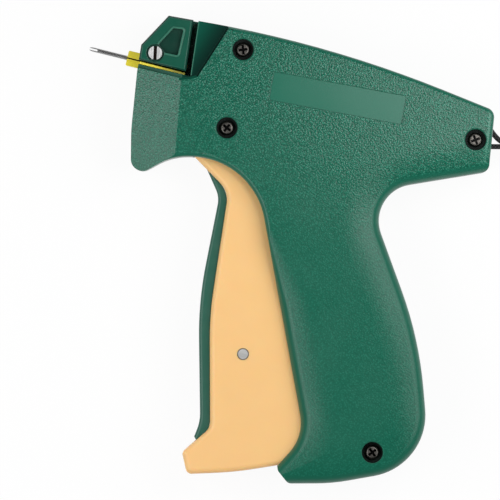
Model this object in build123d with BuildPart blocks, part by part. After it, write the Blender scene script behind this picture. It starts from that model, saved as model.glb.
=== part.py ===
import math
import os

from build123d import *

os.makedirs("parts", exist_ok=True)

# Millimetres. X runs back along the needle, Y to the tool's top and Z up: the tool lies on its right side.
# Places are shares of two lengths, counted from the needle's axis at the front of its base.
head_length = 138.0
tool_height = 157.0
centre_shares = (0.4474, -0.3866)

# Housing
body_thickness = 27.0
side_wall = 2.4
rim_wall = 3.2
edge_round = 1.8
seam_groove = 0.25
crown_width = 13.0
crown_fall = 1.1
shoulder_width = 3.6
crown_fade_share = 0.12
cutter_margin = 2.0
cutter_run_out = 14.0
fit_gap = 0.05
free_gap = 0.3
# Corners of an outline: along, up, and how much of the shorter side beside the corner its arc takes
rear_low_shares = (1.000, -0.055, 0.113)
lip_shares = (0.686, -0.870, 0.178)
lip_tip_shares = (0.643, -0.841, 0.266)
heel_shares = (0.696, -0.754, 0.51)
arch_shares = (0.387, -0.154, 0.767)
nose_outline_shares = (
    (0.081, 0.117, 0),
    (0.509, 0.1435, 0.758),
    (0.977, 0.086, 0.12),
    rear_low_shares,
    (0.699, -0.169, 0.357),
    (0.929, -0.469, 0.39),
    (1.039, -0.751, 0.571),
    (0.799, -0.845, 0.371),
    lip_shares,
    lip_tip_shares,
    heel_shares,
    arch_shares,
    (0.179, -0.198, 0.331),
    (0.087, -0.272, 0.423),
    (0.057, -0.161, 0.139),
    (0.035, -0.027, 0),
    (0.029, 0.036, 0),
)
grip_round_end_share = 0.45
grip_fade_end_share = 0.76

# Nose
slit_low = 1.25
slit_high = 0.2
clip_slot_width = 1.9
clip_foot_shares = (0.1675, 0)
clip_top_shares = (0.154, 0.121)
runner_depth = 3.0
runner_height = 2.6
guide_wall = 2.6
taper_top_shares = (0.152, -0.012)
taper_foot_shares = (0.187, -0.198)
taper_length = 30.0
taper_angle = 20.0
ramp_shares = (
    (0.140, 0.160),
    (0.240, 0.128),
    (0.1897, -0.0021),
    (0.172, -0.0104),
    (0.1515, -0.0165),
)
ledge_low_share = -0.0165
ramp_depth = 1.4
ramp_wall_angle = 30.0
nose_block_drop = 1.2
nose_chamfer = 0.7
recess_shares = ((0.101, 0.0917), (0.128, 0.0947), (0.1295, 0.0325), (0.095, 0.0309), (0.0727, 0.0464))
recess_depth = 1.2
recess_rim = 0.6
recess_rim_height = 0.25
recess_round = 0.6

# Plaque: the bare smooth field on the head's side
plaque_shares = (0.566, 0.0261)
plaque_length = 49.2
plaque_height = 10.6
plaque_angle = 3.5
plaque_depth = 0.3
plaque_round = 0.8

# Needle
needle_reach = 14.4
needle_diameter = 1.6
needle_bore = 1.2
needle_slot = 0.6
needle_point_angle = 24.0
base_width = 5.5
base_thickness = 6.4
base_front_round = 0.4
base_slot = 0.5
knife_length = 2.6
knife_thickness = 0.4
knife_height = 1.6
base_tail = 1.2
knife_setback = 1.4

# Needle lock
lock_shares = (0.0702, 0.0255)
lock_shaft_diameter = 4.4
lock_head_diameter = 5.0
lock_head_thickness = 0.9
lock_head_sink = 0.4
lock_seat_diameter = 6.6
lock_flange_diameter = 6.4
lock_flange_thickness = 1.4
lock_notch_diameter = 4.9
lock_flat_share = 0.30
lock_foot = 2.5
lock_foot_diameter = 3.0
lock_driver_slot = 1.2
lock_driver_angle = 12.0
lock_driver_depth = 0.8

# Screws
screw_places_shares = ((0.2929, 0.0822), (0.3017, -0.1028), (0.9459, 0.0096), (0.8812, -0.7521))
screw_head_diameter = 5.2
screw_head_thickness = 1.8
head_dome_share = 0.4
screw_shank_diameter = 3.0
screw_length = 14.0
screw_recess = 2.4
screw_boss_diameter = 10.0
screw_post_diameter = 7.2
counterbore_diameter = 7.7
counterbore_rim = 0.35
rim_angle = 45.0
cross_width = 0.9
cross_length_share = 0.66
screw_head_angles = (20.0, 65.0, 35.0, 50.0)
cross_depth = 1.1
nose_screw_shares = ((0.1196, 0.0459), (0.0942, 0.0841))
nose_screw_head_diameter = 4.2
nose_screw_head_thickness = 1.6
nose_screw_shank_diameter = 2.2
nose_screw_length = 11.0
nose_screw_recess = 4.0
nose_screw_gap = 0.4

# Trigger
trigger_swing_angle = 12.5
trigger_width = 16.0
trigger_plate = 2.4
trigger_front_wall = 3.0
trigger_edge_round = 2.0
trigger_opening_gap = 0.5
trigger_floor_share = -0.815
trigger_eye_diameter = 13.6
bush_thickness = 0.8
horn_foot_shares = (0.3457, -0.2452, 0.243)
toe_shares = (0.4200, -0.9060, 0.227)
sole_shares = (0.5435, -0.8740, 0.412)
trigger_outline_shares = (
    (0.2370, -0.1860, 0),
    horn_foot_shares,
    (0.3768, -0.5350, 0.226),
    (0.4500, -0.7885, 0.166),
    (0.3935, -0.8600, 0.132),
    toe_shares,
    sole_shares,
    (0.6775, -0.8236, 0),
    (0.7072, -0.7484, 0.088),
    (0.4384, -0.2293, 0.008),
    (0.3500, -0.1050, 0),
    (0.2530, -0.1050, 0),
)
opening_shares = (
    (0.2310, -0.1500),
    (0.4300, -0.1500),
    (0.5100, -0.2600),
    (0.7500, -0.7600),
    (0.7700, -0.8000),
    (0.7000, -0.9700),
    (0.1400, -0.9700),
    (0.1400, -0.3100),
    (0.2310, -0.2350),
)
opening_floor_gap = 1.0
strip_width = 11.0
strip_round = 1.2
strip_outline_shares = (
    (0.2745, -0.2050, 0),
    (0.3254, -0.2624, 0.249),
    (0.3391, -0.5096, 0.35),
    (0.4203, -0.7803, 0.55),
    (0.4145, -0.8175, 0),
    (0.4230, -0.8250, 0),
    (0.4600, -0.8250, 0),
    (0.4050, -0.5350, 0),
    (0.3750, -0.2400, 0),
    (0.2900, -0.1900, 0),
)
pin_shares = (0.4874, -0.6036)
trigger_pin_diameter = 4.2
trigger_pin_proud = 0.2

# Drive lever
fulcrum_shares = (0.5739, -0.4096)
lever_thickness = 5.6
lever_boss_diameter = 12.0
lever_pin_diameter = 5.0
lever_pin_proud = 0.4
lever_arm_width = 9.0
fork_gap = 0.8
slot_gap = 0.3
slot_end_wall = 2.6
fork_end_wall = 2.4
bracket_plate = 1.6
bracket_nose_diameter = 11.0
bracket_height = 12.0
bracket_reach = 31.0
bracket_web = 2.0
bracket_peg_diameter = 4.0
bracket_peg_shares = (0.58, 0.84)
bracket_post_diameter = 7.0

# Slider
slider_length = 20.0
slider_height = 9.0
slider_width = 12.0
slider_round = 0.8
slider_end_wall = 2.9
slider_pin_diameter = 4.0
rail_wall = 1.6
rail_overlap = 2.0
rail_margin = 2.0
rod_diameter = 1.0
rod_setback = 0.6
spring_diameter = 6.0
spring_wire = 0.7
spring_coil_count = 12
spring_end_gap = 0.3

# Feed
wheel_shares = (0.2175, -0.0637)
wheel_diameter = 11.0
wheel_root_diameter = 8.4
wheel_tooth_count = 12
wheel_thickness = 4.0
wheel_boss_diameter = 6.0
axle_diameter = 2.5
wheel_pocket_gap = 0.6
finger_drop = 3.7
finger_length = 17.4
finger_thickness = 0.5
finger_width = 3.0
finger_hook = 0.5
finger_hold = 2.5
leaf_thickness = 0.4
leaf_width = 3.0
leaf_length = 9.0
leaf_shift = 0.6
leaf_block = 1.6
leaf_block_length = 5.0

# Lanyard
cord_diameter = 1.8
cord_hole_diameter = 2.4
cord_bend_share = 0.45
cord_route_shares = (
    (0.9551, 0.0645, 0.5000),
    (1.0126, 0.0179, 0.5000),
    (1.0706, 0.0376, 0.3519),
    (1.1503, 0.0561, 0.0352),
    (1.2445, 0.0338, 0.0352),
    (1.2952, -0.0363, 0.0352),
    (1.2590, -0.1063, 0.0352),
    (1.1720, -0.1063, 0.0352),
    (1.1286, -0.0490, 0.0815),
    (1.1090, 0.0019, 0.2296),
    (1.0742, 0.0223, 0.3704),
    (1.0184, 0.0105, 0.5000),
    (0.9786, 0.0018, 0.5000),
)

mid = body_thickness / 2
trigger_half = trigger_width / 2
boss_level = mid + trigger_half + free_gap
trigger_place_shares = screw_places_shares[1]


def at(shares):
    return ((shares[0] - centre_shares[0]) * head_length, (shares[1] - centre_shares[1]) * tool_height)


def between(start, end, share):
    return (start[0] + (end[0] - start[0]) * share, start[1] + (end[1] - start[1]) * share)


def away(start, end, reach):
    span = math.dist(start, end)
    return between(start, end, reach / span)


def run_past(start, end):
    return away(start, end, math.dist(start, end) + cutter_run_out)


def turned(point, pivot, angle):
    reach = (point[0] - pivot[0], point[1] - pivot[1])
    turn = math.radians(angle)
    return (
        pivot[0] + reach[0] * math.cos(turn) - reach[1] * math.sin(turn),
        pivot[1] + reach[0] * math.sin(turn) + reach[1] * math.cos(turn),
    )


def bearing(start, end):
    return math.degrees(math.atan2(end[1] - start[1], end[0] - start[0]))


def turn_at(before, corner, after):
    arriving = (Vector(*corner) - Vector(*before)).normalized()
    leaving = (Vector(*after) - Vector(*corner)).normalized()
    return math.acos(max(-1, min(1, arriving.dot(leaving))))


def bend_radius(before, corner, after, share):
    shorter = min(math.dist(before, corner), math.dist(corner, after))
    return share * shorter / math.tan(turn_at(before, corner, after) / 2)


def corner_radii(shares):
    places = [at(corner) for corner in shares]
    following = places[1:] + places[:1]
    return [
        bend_radius(places[number - 1], places[number], following[number], corner[2])
        for number, corner in enumerate(shares)
    ]


def outline(shares, level):
    with BuildSketch(Plane.XY.offset(level)) as face:
        with BuildLine():
            FilletPolyline(*[at(corner) for corner in shares], radius=corner_radii(shares), close=True)
        make_face()
    return face.sketch


def polygon(points, level):
    with BuildSketch(Plane.XY.offset(level)) as face:
        with BuildLine():
            Polyline(*points, close=True)
        make_face()
    return face.sketch


def disc(centre, radius, level):
    with BuildSketch(Plane.XY.offset(level)) as face:
        with Locations(centre):
            Circle(radius)
    return face.sketch


def bar(centre, size, level, angle=0):
    with BuildSketch(Plane.XY.offset(level)) as face:
        with Locations(Location(centre, angle)):
            Rectangle(*size)
    return face.sketch


def column(centre, radius, low, high, mode=Mode.ADD):
    extrude(disc(centre, radius, low), amount=high - low, mode=mode)


def block(corner, far_corner, low, high, mode=Mode.ADD):
    sides = [(corner[0], corner[1]), (far_corner[0], corner[1]), far_corner, (corner[0], far_corner[1])]
    extrude(polygon(sides, low), amount=high - low, mode=mode)


# The mechanism: the trigger's pin turns the lever, whose fork carries the slider forward.
pivot = at(trigger_place_shares)
fulcrum = at(fulcrum_shares)
axis_up = at((0, 0))[1]
pin_stops = [turned(at(pin_shares), pivot, trigger_swing_angle * step / 2) for step in range(3)]
lever_swing = bearing(fulcrum, pin_stops[2]) - bearing(fulcrum, pin_stops[0])
lever_height = axis_up - fulcrum[1]
stroke = 2 * lever_height * math.tan(math.radians(lever_swing / 2))
slider_rest = (fulcrum[0] + stroke / 2, axis_up)
slider_stops = [(slider_rest[0] - stroke * step / 2, axis_up) for step in range(3)]
pin_track = [turned(pin_stops[step], fulcrum, -lever_swing * step / 2) for step in range(3)]
fork_track = [turned(slider_stops[step], fulcrum, -lever_swing * step / 2) for step in range(3)]
print("lever swing", lever_swing, "ratio", lever_swing / trigger_swing_angle)
print("slider stroke", stroke, "for each radian", stroke / math.radians(trigger_swing_angle))

bracket_half = lever_thickness / 2 + free_gap + bracket_plate
bracket_pegs = [(fulcrum[0] + share * bracket_reach, fulcrum[1]) for share in bracket_peg_shares]
clip_foot = at(clip_foot_shares)
clip_top = at(clip_top_shares)
corners = [at(corner) for corner in nose_outline_shares]
front = at((0, 0))[0]
lock_place = at(lock_shares)
wheel_place = at(wheel_shares)
leaf_left = wheel_place[0] - leaf_shift
leaf_foot = wheel_place[1] - wheel_diameter / 2 - free_gap - leaf_length
base_end = clip_foot[0] - clip_slot_width / 2 - fit_gap
nose_top = body_thickness - nose_block_drop
above = max(corner[1] for corner in corners) + cutter_run_out


def clip_line(up, shift):
    lean = (clip_top[0] - clip_foot[0]) / (clip_top[1] - clip_foot[1])
    return (clip_foot[0] + (up - clip_foot[1]) * lean + shift, up)


def clip_slot(low, high, bottom, top, mode):
    half = clip_slot_width / 2
    walls = [clip_line(bottom, -half), clip_line(top, -half), clip_line(top, half), clip_line(bottom, half)]
    extrude(polygon(walls, low), amount=high - low, mode=mode)


def round_profile(start, heading, scale, side):
    inward = (heading[1], -heading[0])
    skin = body_thickness if side > 0 else 0
    plane = Plane(
        origin=(start[0], start[1], skin),
        x_dir=(inward[0], inward[1], 0),
        z_dir=(heading[0] * side, heading[1] * side, 0),
    )
    width, shoulder, fall = scale * crown_width, scale * shoulder_width, scale * crown_fall
    crown_radius = ((width - shoulder) ** 2 + fall**2) / (2 * fall)
    lean = math.asin((width - shoulder) / crown_radius)
    edge_radius = shoulder / (1 - math.sin(lean))
    depth = fall + edge_radius * math.cos(lean)
    with BuildSketch(plane) as face:
        with BuildLine():
            JernArc((width, 0), (-1, 0), crown_radius, -math.degrees(lean))
            TangentArc((shoulder, fall), (0, depth), tangent=(-math.cos(lean), math.sin(lean)))
            Polyline(
                (0, depth),
                (-cutter_margin, depth),
                (-cutter_margin, -cutter_margin),
                (width, -cutter_margin),
                (width, 0),
            )
        make_face()
    return face.sketch


def heading_of(start, end):
    span = math.dist(start, end)
    return ((end[0] - start[0]) / span, (end[1] - start[1]) / span)


def grip_rounding(side):
    skin = body_thickness if side > 0 else 0
    radii = corner_radii(nose_outline_shares)
    back = slice(nose_outline_shares.index(rear_low_shares) + 1, nose_outline_shares.index(lip_shares))
    back_path = corners[back]
    back_start = run_past(back_path[0], at(rear_low_shares))
    back_end = run_past(back_path[-1], at(lip_shares))
    back_path = [back_start, *back_path, back_end]
    with BuildLine(Plane.XY.offset(skin)) as back_line:
        FilletPolyline(*back_path, radius=radii[back])
    section = round_profile(back_path[0], heading_of(back_path[0], back_path[1]), 1, side)
    sweep(section, path=back_line.wire(), mode=Mode.SUBTRACT)
    heel, arch = at(heel_shares), at(arch_shares)
    front_start = run_past(heel, at(lip_tip_shares))
    front_end = between(heel, arch, grip_round_end_share)
    with BuildLine(Plane.XY.offset(skin)) as front_line:
        FilletPolyline(front_start, heel, front_end, radius=radii[nose_outline_shares.index(heel_shares)])
    section = round_profile(front_start, heading_of(front_start, heel), 1, side)
    sweep(section, path=front_line.wire(), mode=Mode.SUBTRACT)
    heading = heading_of(heel, arch)
    fade_end = between(heel, arch, grip_fade_end_share)
    full = round_profile(front_end, heading, 1, side)
    faded = round_profile(fade_end, heading, crown_fade_share, side)
    loft([full, faded], ruled=True, mode=Mode.SUBTRACT)


def bore_between(start, end, radius):
    span = Vector(*end) - Vector(*start)
    with BuildSketch(Plane(origin=start, z_dir=span.normalized())) as ring:
        Circle(radius)
    extrude(ring.sketch, amount=span.length, mode=Mode.SUBTRACT)


def hollow_face():
    top, foot = above, at(lip_shares)[1] - cutter_run_out
    wall = clip_slot_width / 2 + guide_wall
    far = max(corner[0] for corner in corners) + cutter_run_out
    with BuildSketch(Plane.XY.offset(mid)) as hollow:
        add(outline(nose_outline_shares, 0))
        offset(amount=-rim_wall, kind=Kind.INTERSECTION, mode=Mode.REPLACE)
        with BuildLine():
            Polyline(clip_line(foot, wall), clip_line(top, wall), (far, top), (far, foot), close=True)
        make_face(mode=Mode.INTERSECT)
    return hollow.sketch


def opening_face():
    toe = at(toe_shares)
    with BuildSketch(Plane.XY.offset(mid)) as opening:
        with BuildLine():
            Polyline(*[at(corner) for corner in opening_shares], close=True)
        make_face()
        with Locations(pivot):
            Circle(math.dist(pivot, toe) + opening_floor_gap, mode=Mode.INTERSECT)
    return opening.sketch


def taper_cut(side):
    top, foot = at(taper_top_shares), at(taper_foot_shares)
    rise = heading_of(foot, top)
    start = run_past(top, foot)
    skin = body_thickness if side > 0 else 0
    drop = taper_length * math.tan(math.radians(taper_angle))
    across = (-rise[1], rise[0], 0)
    with BuildSketch(Plane(origin=(*start, skin), x_dir=across, z_dir=(*rise, 0))) as wedge:
        with BuildLine():
            Polyline(
                (0, 0),
                (taper_length, -side * drop),
                (taper_length, side * cutter_margin),
                (0, side * cutter_margin),
                close=True,
            )
        make_face()
    reach = math.dist(top, foot) + 2 * cutter_run_out + base_end - front
    extrude(wedge.sketch, amount=reach, mode=Mode.SUBTRACT)


def rails(side):
    wall_face = body_thickness - side_wall if side > 0 else side_wall
    half = slider_height / 2 + free_gap
    start = slider_stops[2][0] - slider_length / 2 - rail_margin
    end = slider_rest[0] + slider_length / 2 + rail_margin
    lip = mid + side * (slider_width / 2 - rail_overlap)
    bed = mid + side * (slider_width / 2 + free_gap)
    block((start, axis_up - half - rail_wall), (end, axis_up + half + rail_wall), lip, wall_face)
    block((start, axis_up - half), (end, axis_up + half), lip, bed, mode=Mode.SUBTRACT)


def shell(side):
    wall_face = body_thickness - side_wall if side > 0 else side_wall
    extrude(outline(nose_outline_shares, mid), amount=side * mid, dir=(0, 0, 1))
    seam = faces().sort_by(Axis.Z)[0 if side > 0 else -1]
    chamfer(seam.outer_wire().edges(), length=seam_groove)
    outer = faces().sort_by(Axis.Z)[-1 if side > 0 else 0]
    rounded = outer.outer_wire().edges().filter_by(lambda edge: edge.center().X > clip_foot[0])
    fillet(rounded, radius=edge_round)
    grip_rounding(side)
    taper_cut(side)
    extrude(hollow_face(), amount=wall_face - mid, mode=Mode.SUBTRACT)
    extrude(opening_face(), amount=side * (trigger_half + trigger_opening_gap), mode=Mode.SUBTRACT)
    room_half = bracket_height / 2 + free_gap
    block(
        (fulcrum[0], fulcrum[1] - room_half),
        (fulcrum[0] + bracket_reach + free_gap, fulcrum[1] + room_half),
        mid,
        mid + side * (bracket_half + free_gap),
        mode=Mode.SUBTRACT,
    )
    block(
        (leaf_left - fit_gap, leaf_foot),
        (leaf_left + leaf_thickness + fit_gap, leaf_foot + leaf_length),
        mid,
        mid + side * (leaf_width / 2 + fit_gap),
        mode=Mode.SUBTRACT,
    )
    column(
        wheel_place,
        wheel_diameter / 2 + wheel_pocket_gap,
        mid,
        mid + side * (wheel_thickness / 2 + wheel_pocket_gap),
        mode=Mode.SUBTRACT,
    )
    clip_slot(
        mid,
        mid + (runner_height if side > 0 else -runner_depth),
        at(arch_shares)[1] - cutter_run_out,
        above,
        Mode.SUBTRACT,
    )
    rails(side)
    column(wheel_place, wheel_boss_diameter / 2, wall_face, mid + side * (wheel_thickness / 2 + free_gap))
    column(
        wheel_place,
        axle_diameter / 2 + fit_gap,
        wall_face,
        mid + side * wheel_thickness / 2,
        mode=Mode.SUBTRACT,
    )
    for place in bracket_pegs:
        column(place, bracket_post_diameter / 2, wall_face, mid + side * bracket_half)
    bore_between((base_end, axis_up, mid), (wheel_place[0], axis_up, mid), needle_bore / 2)
    bore_between(cord_route[0], cord_route[1], cord_hole_diameter / 2)
    bore_between(cord_route[-1], cord_route[-2], cord_hole_diameter / 2)
    base_low = axis_up - base_width / 2 - fit_gap
    base_high = axis_up + base_width / 2 + fit_gap
    base_face = mid + side * (base_thickness / 2 + fit_gap)
    block((front - cutter_run_out, base_low), (clip_foot[0], base_high), mid, base_face, mode=Mode.SUBTRACT)


counterbore_floor = body_thickness - screw_recess - screw_head_thickness
shank_hole_radius = screw_shank_diameter / 2 + fit_gap
nose_shank_hole_radius = nose_screw_shank_diameter / 2 + fit_gap
nose_head_hole_radius = nose_screw_head_diameter / 2 + nose_screw_gap
cord_route = [(*at(point), point[2] * body_thickness) for point in cord_route_shares]

with BuildPart() as left_housing:
    shell(1)
    half_slot = clip_slot_width / 2
    slit_floor = axis_up - slit_low
    window = [
        (front - cutter_run_out, slit_floor),
        clip_line(slit_floor, half_slot),
        clip_line(above, half_slot),
        (front - cutter_run_out, above),
    ]
    extrude(polygon(window, mid), amount=mid, mode=Mode.SUBTRACT)
    ramp = [at(point) for point in ramp_shares]
    ramp_floor = polygon(ramp, body_thickness - ramp_depth)
    extrude(ramp_floor, amount=ramp_depth + cutter_margin, taper=-ramp_wall_angle, mode=Mode.SUBTRACT)
    ledge_foot = at((taper_top_shares[0], ledge_low_share))
    ledge_plane = Plane(
        origin=(*ledge_foot, body_thickness - ramp_depth),
        x_dir=(-1, 0, 0),
        z_dir=(0, 1, 0),
    )
    with BuildSketch(ledge_plane) as ledge:
        with BuildLine():
            Polyline(
                (0, 0),
                (taper_length, -taper_length * math.tan(math.radians(taper_angle))),
                (taper_length, ramp_depth + cutter_margin),
                (0, ramp_depth + cutter_margin),
                close=True,
            )
        make_face()
    extrude(ledge.sketch, amount=slit_floor - ledge_foot[1], mode=Mode.SUBTRACT)
    with BuildSketch(Plane.XY.offset(body_thickness - plaque_depth)) as plaque:
        with Locations(Location(at(plaque_shares), plaque_angle)):
            RectangleRounded(plaque_length, plaque_height, plaque_round)
    extrude(amount=mid, mode=Mode.SUBTRACT)
    for place in screw_places_shares:
        column(at(place), screw_post_diameter / 2 + fit_gap, mid, boss_level, mode=Mode.SUBTRACT)
        column(at(place), screw_boss_diameter / 2, boss_level, body_thickness - side_wall)
        column(at(place), counterbore_diameter / 2, counterbore_floor, body_thickness, mode=Mode.SUBTRACT)
        rim = disc(at(place), counterbore_diameter / 2 + counterbore_rim, body_thickness)
        extrude(rim, amount=-counterbore_rim, taper=rim_angle, mode=Mode.SUBTRACT)
        column(at(place), shank_hole_radius, boss_level, counterbore_floor, mode=Mode.SUBTRACT)
left_housing.part.label = "left_housing"
export_step(left_housing.part, "parts/left_housing.step")

lock_seat = nose_top - lock_head_sink
lock_under = mid - base_thickness / 2 - free_gap
lock_flange_low = lock_under - lock_flange_thickness
with BuildPart() as right_housing:
    shell(-1)
    for place in screw_places_shares:
        column(at(place), screw_post_diameter / 2, side_wall, boss_level)
        pilot = counterbore_floor - screw_length - free_gap
        column(at(place), shank_hole_radius, pilot, boss_level, mode=Mode.SUBTRACT)
    for place in bracket_pegs:
        column(place, bracket_peg_diameter / 2, side_wall, mid + bracket_half)
    flange_hole_radius = lock_flange_diameter / 2 + free_gap
    foot_hole_radius = lock_foot_diameter / 2 + fit_gap
    column(lock_place, flange_hole_radius, lock_flange_low - free_gap, mid, mode=Mode.SUBTRACT)
    column(lock_place, foot_hole_radius, lock_flange_low - lock_foot - free_gap, mid, mode=Mode.SUBTRACT)
    for place in nose_screw_shares:
        column(at(place), nose_head_hole_radius, 0, nose_screw_recess, mode=Mode.SUBTRACT)
        column(at(place), nose_shank_hole_radius, 0, mid, mode=Mode.SUBTRACT)
    block(
        (leaf_left - leaf_block, leaf_foot),
        (leaf_left + leaf_thickness + leaf_block, leaf_foot + leaf_block_length),
        side_wall,
        mid,
    )
    block(
        (leaf_left - fit_gap, leaf_foot),
        (leaf_left + leaf_thickness + fit_gap, leaf_foot + leaf_block_length),
        mid - leaf_width / 2,
        mid,
        mode=Mode.SUBTRACT,
    )
right_housing.part.label = "right_housing"
export_step(right_housing.part, "parts/right_housing.step")

# Nose block, on the right shell and in front of the clip slot
with BuildPart() as nose_block:
    with BuildSketch(Plane.XY.offset(mid)) as nose_face:
        add(outline(nose_outline_shares, 0))
        with BuildLine():
            slit_ceiling = axis_up + slit_high
            Polyline(
                (front - cutter_run_out, slit_ceiling),
                clip_line(slit_ceiling, -half_slot),
                clip_line(above, -half_slot),
                (front - cutter_run_out, above),
                close=True,
            )
        make_face(mode=Mode.INTERSECT)
    extrude(amount=nose_top - mid)
    chamfer(faces().sort_by(Axis.Z)[-1].outer_wire().edges(), length=nose_chamfer)
    base_ceiling = mid + base_thickness / 2 + fit_gap
    block(
        (front - cutter_run_out, axis_up),
        (clip_foot[0], axis_up + base_width / 2 + fit_gap),
        mid,
        base_ceiling,
        mode=Mode.SUBTRACT,
    )
    with BuildSketch(Plane.XY.offset(nose_top)) as recess:
        with BuildLine():
            FilletPolyline(*[at(point) for point in recess_shares], radius=recess_round, close=True)
        make_face()
    extrude(amount=-recess_depth, mode=Mode.SUBTRACT)
    with BuildSketch(Plane.XY.offset(nose_top)) as recess_frame:
        add(recess.sketch_local)
        offset(amount=recess_rim, mode=Mode.REPLACE)
        add(recess.sketch_local, mode=Mode.SUBTRACT)
    extrude(amount=recess_rim_height)
    column(lock_place, lock_seat_diameter / 2, lock_seat, body_thickness, mode=Mode.SUBTRACT)
    column(lock_place, lock_shaft_diameter / 2 + fit_gap, mid, body_thickness, mode=Mode.SUBTRACT)
    for place in nose_screw_shares:
        pilot_top = nose_screw_recess + nose_screw_length + free_gap
        column(at(place), nose_shank_hole_radius, mid, pilot_top, mode=Mode.SUBTRACT)
nose_block.part.label = "nose_block"
export_step(nose_block.part, "parts/nose_block.step")

# Needle: slotted tube, its moulded base and the blade at the base's tail
needle_plane = Plane(origin=(front - needle_reach, axis_up, mid), x_dir=(0, 1, 0), z_dir=(1, 0, 0))
base_length = base_end - front
with BuildPart() as needle_tube:
    with BuildSketch(needle_plane):
        Circle(needle_diameter / 2)
        Circle(needle_bore / 2, mode=Mode.SUBTRACT)
        with Locations((0, needle_diameter / 2)):
            Rectangle(needle_slot, needle_diameter, mode=Mode.SUBTRACT)
    extrude(amount=needle_reach + base_length)
    point_length = needle_diameter / math.tan(math.radians(needle_point_angle))
    with BuildSketch(Plane(origin=(front - needle_reach, axis_up, mid), z_dir=(0, 1, 0), x_dir=(1, 0, 0))):
        with BuildLine():
            Polyline(
                (0, -needle_diameter / 2),
                (point_length, needle_diameter / 2),
                (point_length, needle_diameter),
                (-needle_diameter, needle_diameter),
                (-needle_diameter, -needle_diameter / 2),
                close=True,
            )
        make_face()
    extrude(amount=needle_diameter, both=True, mode=Mode.SUBTRACT)
needle_tube.part.label = "needle_tube"
export_step(needle_tube.part, "parts/needle_tube.step")

knife_low = axis_up + base_width / 2 - knife_setback
with BuildPart() as needle_base:
    block(
        (front, axis_up - base_width / 2),
        (base_end, axis_up + base_width / 2),
        mid - base_thickness / 2,
        mid + base_thickness / 2,
    )
    fillet(edges().filter_by(Axis.Z).group_by(Axis.X)[0], radius=base_front_round)
    block(
        (base_end - base_tail, axis_up - base_width / 2),
        (base_end, axis_up - base_width / 2 + base_tail),
        mid - base_thickness / 2,
        mid + base_thickness / 2,
        mode=Mode.SUBTRACT,
    )
    bore_between((front, axis_up, mid), (base_end, axis_up, mid), needle_diameter / 2 + fit_gap)
    block(
        (front, axis_up - base_slot / 2),
        (base_end, axis_up + base_slot / 2),
        mid,
        mid + base_thickness / 2,
        mode=Mode.SUBTRACT,
    )
    column(lock_place, lock_notch_diameter / 2, 0, body_thickness, mode=Mode.SUBTRACT)
    block(
        (base_end - knife_length - fit_gap, knife_low - fit_gap),
        (base_end, knife_low + knife_thickness + fit_gap),
        mid + base_thickness / 2 - knife_height - fit_gap,
        mid + base_thickness / 2,
        mode=Mode.SUBTRACT,
    )
needle_base.part.label = "needle_base"
export_step(needle_base.part, "parts/needle_base.step")

with BuildPart() as needle_knife:
    block(
        (base_end - knife_length, knife_low),
        (base_end, knife_low + knife_thickness),
        mid + base_thickness / 2 - knife_height,
        mid + base_thickness / 2,
    )
needle_knife.part.label = "needle_knife"
export_step(needle_knife.part, "parts/needle_knife.step")

# Needle lock: its round side sits in the base's notch, its flat frees the base at half a turn
lock_top = lock_seat + lock_head_thickness
with BuildPart() as needle_lock:
    column(lock_place, lock_shaft_diameter / 2, lock_under, lock_seat + fit_gap)
    column(lock_place, lock_head_diameter / 2, lock_seat + fit_gap, lock_top)
    column(lock_place, lock_flange_diameter / 2, lock_flange_low, lock_under)
    column(lock_place, lock_foot_diameter / 2, lock_flange_low - lock_foot, lock_flange_low)
    flat = lock_place[1] + lock_shaft_diameter * lock_flat_share
    block(
        (lock_place[0] - lock_shaft_diameter, flat),
        (lock_place[0] + lock_shaft_diameter, lock_place[1] + lock_shaft_diameter),
        lock_under,
        base_ceiling + fit_gap,
        mode=Mode.SUBTRACT,
    )
    driver_floor = lock_top - lock_driver_depth
    driver_size = (lock_driver_slot, lock_head_diameter * 2)
    driver_slot = bar(lock_place, driver_size, driver_floor, lock_driver_angle)
    extrude(driver_slot, amount=lock_head_thickness, mode=Mode.SUBTRACT)
needle_lock.part.label = "needle_lock"
export_step(needle_lock.part, "parts/needle_lock.step")


def screw(place, head_radius, head_low, head_high, shank_radius, shank_end, turn):
    column(place, head_radius, min(head_low, head_high), max(head_low, head_high))
    crown = edges(Select.LAST).sort_by(lambda edge: abs(edge.center().Z - head_high))[0]
    fillet(crown, radius=head_radius * head_dome_share)
    column(place, shank_radius, min(head_low, shank_end), max(head_low, shank_end))
    sunk = head_high - math.copysign(cross_depth, head_high - head_low)
    for quarter in (0, 90):
        arm = bar(place, (cross_length_share * head_radius * 2, cross_width), sunk, turn + quarter)
        extrude(arm, amount=head_high - sunk, mode=Mode.SUBTRACT)


with BuildPart() as housing_screws:
    for number, place in enumerate(screw_places_shares):
        screw(
            at(place),
            screw_head_diameter / 2,
            counterbore_floor,
            counterbore_floor + screw_head_thickness,
            screw_shank_diameter / 2,
            counterbore_floor - screw_length,
            screw_head_angles[number],
        )
housing_screws.part.label = "housing_screws"
export_step(housing_screws.part, "parts/housing_screws.step")

with BuildPart() as nose_screws:
    for place in nose_screw_shares:
        screw(
            at(place),
            nose_screw_head_diameter / 2,
            nose_screw_recess,
            nose_screw_recess - nose_screw_head_thickness,
            nose_screw_shank_diameter / 2,
            nose_screw_recess + nose_screw_length,
            screw_head_angles[0],
        )
nose_screws.part.label = "nose_screws"
export_step(nose_screws.part, "parts/nose_screws.step")

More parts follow.
